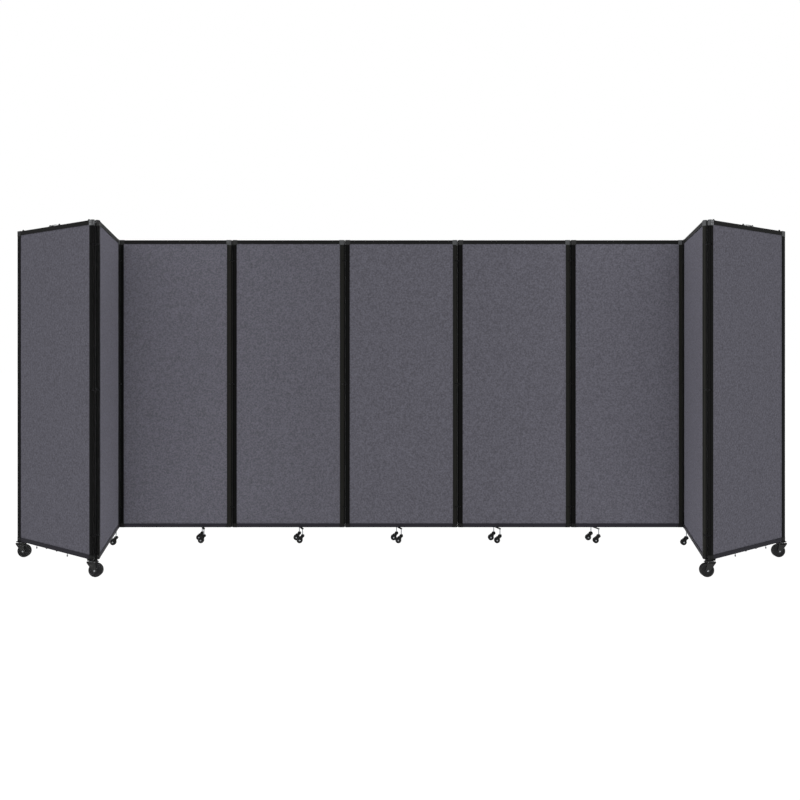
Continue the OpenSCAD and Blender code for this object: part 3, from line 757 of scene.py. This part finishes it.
# %% Make the hinges
STRIP = 5.2
STRIP_END = 2.6
STRIP_PLAY = 1.0
ROD_RADIUS = 4.0
half_gap = HINGE_GAP / 2
strip_end = rounded_rectangle(-STRIP_END / 2, -NOSE, STRIP_END / 2, NOSE, 1)
strip = rounded_rectangle(-STRIP / 2, -NOSE, STRIP / 2, NOSE, 1.5)
knuckle_plate = stadium((-half_gap, 0), (half_gap, 0), KNUCKLE_RADIUS)
rod_low, rod_high = CLEARANCE + 5, TOP - 5
rod = [(0, rod_low), (ROD_RADIUS - 1, rod_low), (ROD_RADIUS, rod_low + 1)]
rod += [(radius, rod_low + rod_high - z) for radius, z in reversed(rod)]
for k in range(1, 9):
    a, b = right_axis[k], left_axis[k + 1]
    bm = bmesh.new()
    add_prism(bm, strip_end, CLEARANCE + 2, TOP - 2)
    add_prism(bm, strip, CLEARANCE + RAIL_HEIGHT + STRIP_PLAY, TOP - CAP_HEIGHT - STRIP_PLAY)
    for z in KNUCKLES:
        add_prism(bm, knuckle_plate, z, z + KNUCKLE_HEIGHT)
    for x in (-half_gap, half_gap):
        add_turned(bm, rod, Matrix.Translation((x, 0, 0)), finish=1, steps=24)
    link = f"hinge_{k}_{k + 1}"
    at = standing((a + b) / 2, heading_between(a, b))
    make_piece(f"hinge_strip_{k}_{k + 1}", bm, [anodised, zinc], at, link, [link])
print("hinges", 8, "with", 8 * len(KNUCKLES), "knuckle plates")

# %% [markdown]
# ## Feet of the run panels
# Each run panel stands on a cross bar with a small caster in front and one behind. The rear one is set a
# little to the side, so the bar is skewed. In the photograph the feet stand closer together than the
# panels, so each is staggered towards the middle one. Plated stems pass down through the bar, and two
# pan-head screws hold it to the bottom rail.

# %% Stems and screws
SMALL_WHEEL = 22.5
STEM = 4.0
STEM_LOW = 2 * SMALL_WHEEL + 6.5
BAR_TOP, BAR_THICK = CLEARANCE - 1, 5.0
stem_tip = [(0, STEM_LOW), (STEM - 0.8, STEM_LOW), (STEM, STEM_LOW + 0.8)]
stem_profile = stem_tip + [(STEM, BAR_TOP - 0.6), (0, BAR_TOP - 0.6)]
screw_profile = [(0, 1.3), (1.5, 1.3), (1.8, 0), (3, 0.1), (4.1, 0.7), (4.5, 2), (0, 2)]

# %% Make the cross bars
RUN_PANELS = range(3, 8)
MIDDLE_PANEL = 5
FOOT_SPREAD, FOOT_SKEW, FOOT_STAGGER = 41.0, 36.0, 112.0
BAR_HALF = 8.0


def foot_x(i):
    return -FOOT_STAGGER * (i - MIDDLE_PANEL)


def foot_bar(i):
    front, rear = Vector((foot_x(i), -FOOT_SPREAD)), Vector((foot_x(i) - FOOT_SKEW, FOOT_SPREAD))
    centre, unit = (front + rear) / 2, (rear - front).normalized()
    bm = bmesh.new()
    add_prism(bm, stadium(front, rear, BAR_HALF), BAR_TOP - BAR_THICK, BAR_TOP - SEAM)
    pad = rounded_rectangle(centre.x - BAR_HALF, -NOSE, centre.x + BAR_HALF, NOSE, 2)
    add_prism(bm, pad, BAR_TOP, CLEARANCE - SEAM)
    for p in (front, rear):
        add_turned(bm, stem_profile, Matrix.Translation((p.x, p.y, 0)), finish=1)
    for s in (-7, 7):
        p = centre + unit * s
        low = BAR_TOP - BAR_THICK - 2
        add_turned(bm, screw_profile, Matrix.Translation((p.x, p.y, low)), finish=1, steps=24)
    make_frame_piece(i, f"foot_bar_{i}", bm, [nylon_black, zinc])


for i in RUN_PANELS:
    foot_bar(i)
print("cross bars", len(RUN_PANELS), "with", 2 * len(RUN_PANELS), "stems")

# %% [markdown]
# The two returns have a single caster under the middle plane, so its stem goes straight into the bottom
# rail, with a flange against it.

# %% Make the single stems
flange = [(STEM, 103.9), (7.2, 104.3), (8, 105), (8, CLEARANCE - SEAM), (0, CLEARANCE - SEAM)]
for i in (2, 8):
    bm = bmesh.new()
    add_turned(bm, stem_tip + flange, Matrix.Translation((foot_x(i), 0, 0)))
    make_frame_piece(i, f"foot_stem_{i}", bm, [zinc], edge=0)
print("single stems under panels 2 and 8")

# %% [markdown]
# ## Small casters
# A small caster is a moulded fork on a stem and a wheel between its arms. The fork has a domed head, two
# curved arms and a short hood over the tyre. It trails behind its stem as on any swivel caster. The
# drawings have the swivel axis at the origin and the wheel towards -X.

# %% The small fork
SMALL_TRAIL = 22.0
SMALL_HEAD_LOW = 2 * SMALL_WHEEL + 2
SMALL_ARM_IN, SMALL_ARM_OUT = 9.6, 12.8
small_head = [
    (0, SMALL_HEAD_LOW),
    (11.5, SMALL_HEAD_LOW),
    (13, SMALL_HEAD_LOW + 1.5),
    (13, SMALL_HEAD_LOW + 11),
    (12, SMALL_HEAD_LOW + 15),
    (9.5, SMALL_HEAD_LOW + 18),
    (5.4, SMALL_HEAD_LOW + 19),
    (4.1, SMALL_HEAD_LOW + 19),
    (4.1, SMALL_HEAD_LOW + 10),
    (0, SMALL_HEAD_LOW + 10),
]
small_arm = (
    [(8, 62), (11.4, 58), (12.2, 53), (11, 49), (6, 44.5), (-1, 40), (-8, 33), (-13.5, 26)]
    + arc(-SMALL_TRAIL, SMALL_WHEEL, 7.2, 20, -190, 14)
    + [(-28.6, 29), (-25, 36), (-20, 44), (-15.5, 52), (-12.8, 58), (-9, 62)]
)


def small_fork():
    bm = bmesh.new()
    add_turned(bm, small_head)
    for low, high in ((-SMALL_ARM_OUT, -SMALL_ARM_IN), (SMALL_ARM_IN, SMALL_ARM_OUT)):
        add_prism(bm, small_arm, low, high, ON_EDGE)
    hood = curved_plate(-SMALL_TRAIL, SMALL_WHEEL, 24.2, 27, 28, 100, 12)
    add_prism(bm, hood, -SMALL_ARM_IN, SMALL_ARM_IN, ON_EDGE)
    rivet = [(0, -0.5), (5.5, -0.5), (5.5, 1), (4.6, 1.8), (2.4, 2.04), (0, 2.04)]
    for side in (-1, 1):
        axle = facing_out(-SMALL_TRAIL, SMALL_ARM_OUT, SMALL_WHEEL, side)
        add_turned(bm, rivet, axle, finish=1, steps=28)
    return bm


# %% [markdown]
# The wheel is a tyre round a moulded centre. The tyre's shoulders are round and the centre is dished, with
# a raised boss that reaches to the arms.

# %% Wheels
def tyre_profile(radius, width, thick, shoulder):
    """Half of the ring's section, then mirrored: (radius, distance along the axle)."""
    half = width / 2
    outer = arc(radius - shoulder, half - shoulder, shoulder, 0, 90, 6)
    side = outer + [(radius - thick + 1, half - 0.3), (radius - thick, half - 1)]
    return [(radius, 0)] + side + [(r, -z) for r, z in reversed(side)]


def add_wheel(bm, centre, radius, width, thick, shoulder, boss, reach, spokes):
    """A tyre and its centre, on an axle along Y."""
    at = Matrix.Translation(centre) @ Matrix.Rotation(math.radians(90), 4, "X")
    add_turned(bm, tyre_profile(radius, width, thick, shoulder), at, steps=72, closed=True)
    rim = radius - thick - SEAM
    half = width / 2
    face = [(boss - 1, reach), (boss, reach - 0.8), (boss + 0.6, half - 3)]
    face += [(rim - 3, half - 3), (rim - 2, half - 1.4), (rim, half - 1.4)]
    centre_profile = [(0, reach)] + face + [(r, -z) for r, z in reversed(face)] + [(0, -reach)]
    add_turned(bm, centre_profile, at, finish=1, steps=56)
    for s in range(spokes):
        turn = Matrix.Rotation(2 * math.pi * s / spokes, 4, "Z")
        rib = rounded_rectangle(boss - 0.5, -1.1, rim - 1.5, 1.1, 0.8, 2)
        for z in (half - 3.5, 2.2 - half):
            add_prism(bm, rib, z, z + 1.3, at @ turn, finish=1)


# %% Make the small casters
def caster_frame(swivel):
    """The frame of a caster: origin under its swivel axis, the wheel towards -X."""
    axis = plan_point(swivel)
    wheel = plan_point(swivel.replace("swivel", "spin"))
    return standing(axis, 0 if wheel.x < axis.x else 180)


small_casters = [name for name in joints if name.startswith("foot_swivel")]
for swivel in small_casters:
    fork, wheel = swivel.replace("swivel", "fork"), swivel.replace("swivel", "wheel")
    at = caster_frame(swivel)
    make_piece(f"nylon_{fork}", small_fork(), [nylon_black, zinc], at, fork, [fork], edge=0.5)
    bm = bmesh.new()
    size = {"width": 18, "thick": 6, "shoulder": 2.6, "boss": 6.5, "reach": 9.2, "spokes": 5}
    add_wheel(bm, (-SMALL_TRAIL, 0, SMALL_WHEEL), SMALL_WHEEL, **size)
    make_piece(f"rubber_{wheel}", bm, [rubber, hub_black], at, wheel, [wheel], edge=0)
print("small casters", len(small_casters))

# %% [markdown]
# ## Large casters
# The end panels stand on large casters, which carry the wall while it rolls. A square plate is bolted
# under the corner, a plated ball race lies under it, and a kingpin holds the fork. The fork's legs sweep
# back to the axle and rise in a shoulder before and behind the race, which shows in the notch between.

# %% The mounting plate
LARGE_WHEEL = 44.0
LARGE_TRAIL = 28.0
CROWN_LOW = 2 * LARGE_WHEEL + 2.5
CROWN_TOP = CROWN_LOW + 4
PLATE_TOP = CLEARANCE - 0.6
PLATE_LOW = PLATE_TOP - 4
PLATE_HALF, PLATE_BOLT = 22.0, 15.5
race = [(0, CROWN_TOP - 0.3), (10, CROWN_TOP - 0.3), (10, CROWN_TOP + 4), (9.2, CROWN_TOP + 4.6)]
race += [(9.2, CROWN_TOP + 5.8), (10, CROWN_TOP + 6.4), (10, PLATE_LOW - 1)]
race += [(9.3, PLATE_LOW - 0.3), (0, PLATE_LOW - 0.3)]
bolt = [(0, -1.8), (1.9, -1.8), (2.4, -1.4), (2.5, 0.2), (0, 0.2)]
kingpin_head = [(0, CROWN_LOW - 4.3), (7.6, CROWN_LOW - 4.3), (9, CROWN_LOW - 3.4)]
kingpin_head += [(9, CROWN_LOW - 0.3), (0, CROWN_LOW - 0.3)]


def mounting_plate(i, at_end):
    swivel = f"end_swivel_{i}_{at_end}"
    bm = bmesh.new()
    plate = rounded_rectangle(-PLATE_HALF, -PLATE_HALF, PLATE_HALF, PLATE_HALF, 6, 6)
    add_prism(bm, plate, PLATE_LOW, PLATE_TOP)
    add_prism(bm, rounded_rectangle(-12, -10.5, 12, 10.5, 2), PLATE_TOP, CLEARANCE - SEAM)
    for x in (-PLATE_BOLT, PLATE_BOLT):
        for y in (-PLATE_BOLT, PLATE_BOLT):
            add_turned(bm, bolt, Matrix.Translation((x, y, PLATE_LOW)), finish=1, steps=24)
    add_turned(bm, kingpin_head, finish=1)
    at = standing(plan_point(swivel), heading[i])
    make_frame_piece(i, f"mounting_plate_{i}_{at_end}", bm, [nylon_black, zinc], at)


# %% The large fork
NECK_HALF = 9.0
SHOULDER_TOP = CROWN_TOP + 8.6
CROWN_FRONT, CROWN_BACK = 22.0, -30.0
LEG_IN, LEG_OUT = 18.0, 22.0
front_edge = [(22.6, 93.8), (20, 89.2), (12, 77.8), (3, 65), (-6, 52.2), (-12.6, 43)]
rear_edge = [(-38.2, 57), (-35, 71), (-32.4, 81), (-30.6, 89), (CROWN_BACK, 93), (CROWN_BACK, 96.8)]
neck_edge = [(NECK_HALF, CROWN_TOP + 2.4), (NECK_HALF + 0.3, SHOULDER_TOP - 1)]
neck_edge += [(NECK_HALF + 1.2, SHOULDER_TOP)]
leg_outline = neck_edge + arc(18.6, SHOULDER_TOP - 5, 5, 85, -15, 8) + front_edge
leg_outline += arc(-LARGE_TRAIL, LARGE_WHEEL, 13.5, -15, -196, 16) + rear_edge
leg_outline += arc(-24.4, SHOULDER_TOP - 5.6, 5.6, 175, 90, 6) + [(-x, z) for x, z in reversed(neck_edge)]
PEDAL_X, PEDAL_Z = -26.0, 98.4
boss = [(0, -0.2), (11, -0.2), (10.4, 0.9), (0, 0.9)]
hexagon = arc(0, 0, 5.8, 0, 300, 5)
axle_end = [(0, 4.2), (3.6, 4.2), (3.6, 4.6), (3, 5.04), (0, 5.04)]
pin_end = [(0, -0.5), (1.6, -0.5), (1.6, 0.1), (1.2, 0.3), (0, 0.3)]


def large_fork(braked):
    bm = bmesh.new()
    crown = rounded_rectangle(CROWN_BACK, -LEG_OUT, CROWN_FRONT, LEG_OUT, 5, 6)
    add_prism(bm, crown, CROWN_LOW, CROWN_TOP)
    for low, high in ((-LEG_OUT, -LEG_IN), (LEG_IN, LEG_OUT)):
        add_prism(bm, leg_outline, low, high, ON_EDGE)
    add_prism(bm, curved_plate(16, CROWN_LOW - 1, 4, 6.4, 60, -40, 8), -LEG_IN, LEG_IN, ON_EDGE)
    add_turned(bm, race, finish=1, steps=48)
    for side in (-1, 1):
        axle = facing_out(-LARGE_TRAIL, LEG_OUT, LARGE_WHEEL, side)
        add_turned(bm, boss, axle, steps=32)
        add_prism(bm, hexagon, 0.9, 4.2, axle, finish=1)
        add_turned(bm, axle_end, axle, finish=1, steps=24)
        if braked:
            add_turned(bm, pin_end, facing_out(PEDAL_X, LEG_OUT, PEDAL_Z, side), finish=1, steps=20)
    return bm


# %% [markdown]
# The two casters beside the hinges have a brake. Its pedal is a short lever with a ridged toe plate that
# slopes down over the tyre, on a pin between the rear shoulders.

# %% The brake pedal
def brake_pedal():
    bm = bmesh.new()
    outline = [(PEDAL_X, PEDAL_Z + 2.6), (PEDAL_X - 5, PEDAL_Z + 2), (PEDAL_X - 14.6, PEDAL_Z - 1.5)]
    outline += [(PEDAL_X - 16, PEDAL_Z - 2.7), (PEDAL_X - 16, PEDAL_Z - 5.2), (PEDAL_X - 15, PEDAL_Z - 5.7)]
    outline += [(PEDAL_X - 5, PEDAL_Z - 2.6), (PEDAL_X, PEDAL_Z - 2)]
    add_prism(bm, outline, -12, 12, ON_EDGE)
    barrel = [(0, -17.7), (3, -17.7), (3.4, -17.3), (3.4, 17.3), (3, 17.7), (0, 17.7)]
    add_turned(bm, barrel, Matrix.Translation((PEDAL_X, 0, PEDAL_Z)) @ ON_EDGE, steps=28)
    for s in range(4):
        x, z = PEDAL_X - 6.5 - 2.6 * s, PEDAL_Z + 1.5 - 0.95 * s
        ridge = rounded_rectangle(x - 0.7, z - 1, x + 0.7, z + 0.6, 0.5, 3)
        add_prism(bm, ridge, -10.5, 10.5, ON_EDGE)
    return bm


# %% Make the large casters
for i in (1, 9):
    for at_end in ("near", "far"):
        mounting_plate(i, at_end)
        swivel = f"end_swivel_{i}_{at_end}"
        fork, wheel = swivel.replace("swivel", "fork"), swivel.replace("swivel", "wheel")
        at = caster_frame(swivel)
        braked = at_end == "near"
        bm = large_fork(braked)
        make_piece(f"nylon_{fork}", bm, [nylon_charcoal, zinc], at, fork, [fork], edge=0.7)
        bm = bmesh.new()
        size = {"width": 32, "thick": 11, "shoulder": 5, "boss": 12, "reach": 17.6, "spokes": 6}
        add_wheel(bm, (-LARGE_TRAIL, 0, LARGE_WHEEL), LARGE_WHEEL, **size)
        make_piece(f"rubber_{wheel}", bm, [rubber, hub_black], at, wheel, [wheel], edge=0)
        if braked:
            pedal, bm = f"brake_pedal_{i}", brake_pedal()
            make_piece(f"nylon_{pedal}", bm, [nylon_charcoal], at, pedal, [pedal], edge=0.5)
print("large casters", 4, "two with brakes")

# %% [markdown]
# ## Fittings on the end panels
# The end panels carry a row of dark studs on the top rail, with a low pull strap under the middle two, and
# a second row below, where two slim grey pegs hang between the studs.

# %% Studs, straps and pegs
OPENING_MIDDLE = (END_OPENING - OPENING) / 2
OPENING_HALF = (END_OPENING + OPENING) / 2
INNER_STUD, LOWER_STUD, LOWER_SHIFT, PEG = 52.0, 58.0, 35.0, 176.0
OUTER_INSET, LOWER_INSET = 19.0, 32.0
UPPER_HEIGHT, LOWER_HEIGHT = 9.0, 7.0
STRAP_RISE, STRAP_THICK, STRAP_HALF = 6.0, 1.6, 7.0


def stud_profile(height):
    foot = [(0, 0), (6.6, 0), (7, 0.5), (7, height * 0.3), (6.2, height * 0.42), (5.4, height * 0.46)]
    return foot + [(4.9, height * 0.8), (4.2, height * 0.94), (3, height), (0, height)]


def add_stud(bm, x, z, height, up):
    at = Matrix.Translation((x, 0, z)) @ mirrored(Z_AXIS, not up)
    add_turned(bm, stud_profile(height), at, steps=28)


def add_peg(bm, x):
    profile = [(0, 96.1), (3, 96.1), (3, CLEARANCE - SEAM), (0, CLEARANCE - SEAM)]
    tip = [(0, 88), (3.6, 88), (4.5, 89), (4.5, 95), (3.8, 96), (0, 96)]
    add_turned(bm, profile, Matrix.Translation((x, 0, 0)), finish=1, steps=20)
    add_turned(bm, tip, Matrix.Translation((x, 0, 0)), finish=2, steps=24)


# %% Make the fittings
def strap_outline():
    """Flat under each stud, then up and over between them."""
    half = [(10, 0), (-9, 0), (-14, 1), (-20, STRAP_RISE - 1), (-26, STRAP_RISE), (-40, STRAP_RISE + 0.5)]
    under = [(-INNER_STUD - x, z) for x, z in half] + [(INNER_STUD + x, z) for x, z in reversed(half)]
    return under + [(x, z + STRAP_THICK) for x, z in reversed(under)]


for i in (1, 9):
    at = panel_frame[i] @ mirrored(X_AXIS, i == 1)
    bm = bmesh.new()
    for s in (-1, 1):
        add_stud(bm, OPENING_MIDDLE + s * (OPENING_HALF - OUTER_INSET), TOP, UPPER_HEIGHT, True)
        add_stud(bm, OPENING_MIDDLE + s * INNER_STUD, TOP + STRAP_THICK, UPPER_HEIGHT, True)
        add_stud(bm, OPENING_MIDDLE + s * (OPENING_HALF - LOWER_INSET), CLEARANCE, LOWER_HEIGHT, False)
        add_stud(bm, OPENING_MIDDLE + LOWER_SHIFT + s * LOWER_STUD, CLEARANCE, LOWER_HEIGHT, False)
        add_peg(bm, OPENING_MIDDLE + LOWER_SHIFT + s * PEG)
    make_frame_piece(i, f"studs_{i}", bm, [nylon_black, zinc, nylon_grey], at, edge=0)
    bm = bmesh.new()
    over_studs = Matrix.Translation((OPENING_MIDDLE, 0, TOP)) @ ON_EDGE
    add_prism(bm, strap_outline(), -STRAP_HALF, STRAP_HALF, over_studs)
    make_frame_piece(i, f"pull_strap_{i}", bm, [webbing], at, edge=0.4)
print("studs", 16, "pegs", 4, "straps", 2)

# %% [markdown]
# ## Floor and light
# The photograph has no visible room and no shadows: everything around the wall is pure white. So the floor
# is an opal acrylic light table, lit from below, which leaves no shadow under the casters, and the sky has
# the same strength. Between them a felt panel shows its own colour whichever way it faces. A broad lamp
# behind the camera lifts the straight run, where the returns hide part of the sky. Two narrow beams cross
# in front of the wall, each to the far return's inner face, which the rest of the wall shades most.

# %% Floor
light_table, table_surface, table_place = new_finish(
    "opal_acrylic_light_table", Base_Color=linear("#3a3a3a"), Roughness=0.7, Specular_IOR_Level=0.0
)
cloud = add_node(
    light_table, "ShaderNodeTexNoise", {"Vector": table_place, "Scale": blotches(600), "Detail": 1.0}
)
glow = add_node(
    light_table, "ShaderNodeMapRange", {"Value": cloud.outputs["Fac"], "To Min": 1.0, "To Max": 1.04}
)
wire(light_table, table_surface, "Emission Strength", glow.outputs["Result"])
floor_mesh = bpy.data.meshes.new("floor")
FLOOR_REACH = 40
floor_corners = [(x * FLOOR_REACH, y * FLOOR_REACH, 0) for x, y in ((-1, -1), (1, -1), (1, 1), (-1, 1))]
floor_mesh.from_pydata(floor_corners, [], [(0, 1, 2, 3)])
floor_mesh.materials.append(light_table)
floor = bpy.data.objects.new("floor", floor_mesh)
bpy.context.scene.collection.objects.link(floor)

# %% Sky and lamps
SKY, FRONT, CROSS = 1.0, 155.0, 9.0
BEAM_HEIGHT, BEAM_SPREAD = 1.2, 8
world = bpy.data.worlds.new("white_studio")
world.use_nodes = True
world.node_tree.nodes["Background"].inputs["Color"].default_value = (1, 1, 1, 1)
world.node_tree.nodes["Background"].inputs["Strength"].default_value = SKY
bpy.context.scene.world = world
bpy.context.scene.view_settings.view_transform = "Standard"


def add_lamp(name, place, target, power):
    lamp = bpy.data.objects.new(name, bpy.data.lights.new(name, "AREA"))
    lamp.data.energy = power
    lamp.location = place
    lamp.rotation_euler = (Vector(target) - Vector(place)).to_track_quat("-Z", "Y").to_euler()
    bpy.context.scene.collection.objects.link(lamp)
    return lamp


add_lamp("front_lamp", (0, -9, 1.9), (0, 0, 1.1), FRONT).data.size = 4
for side, name in ((-1, "left_beam"), (1, "right_beam")):
    place, target = (side * 5.1, -3.7, BEAM_HEIGHT), (-side * 1.95, 0, BEAM_HEIGHT)
    beam = add_lamp(name, place, target, CROSS)
    beam.data.shape, beam.data.size, beam.data.size_y = "RECTANGLE", 1.3, 3.0
    beam.data.spread = math.radians(BEAM_SPREAD)
print("sky", SKY, "front lamp", FRONT, "W, beams", CROSS, "W")
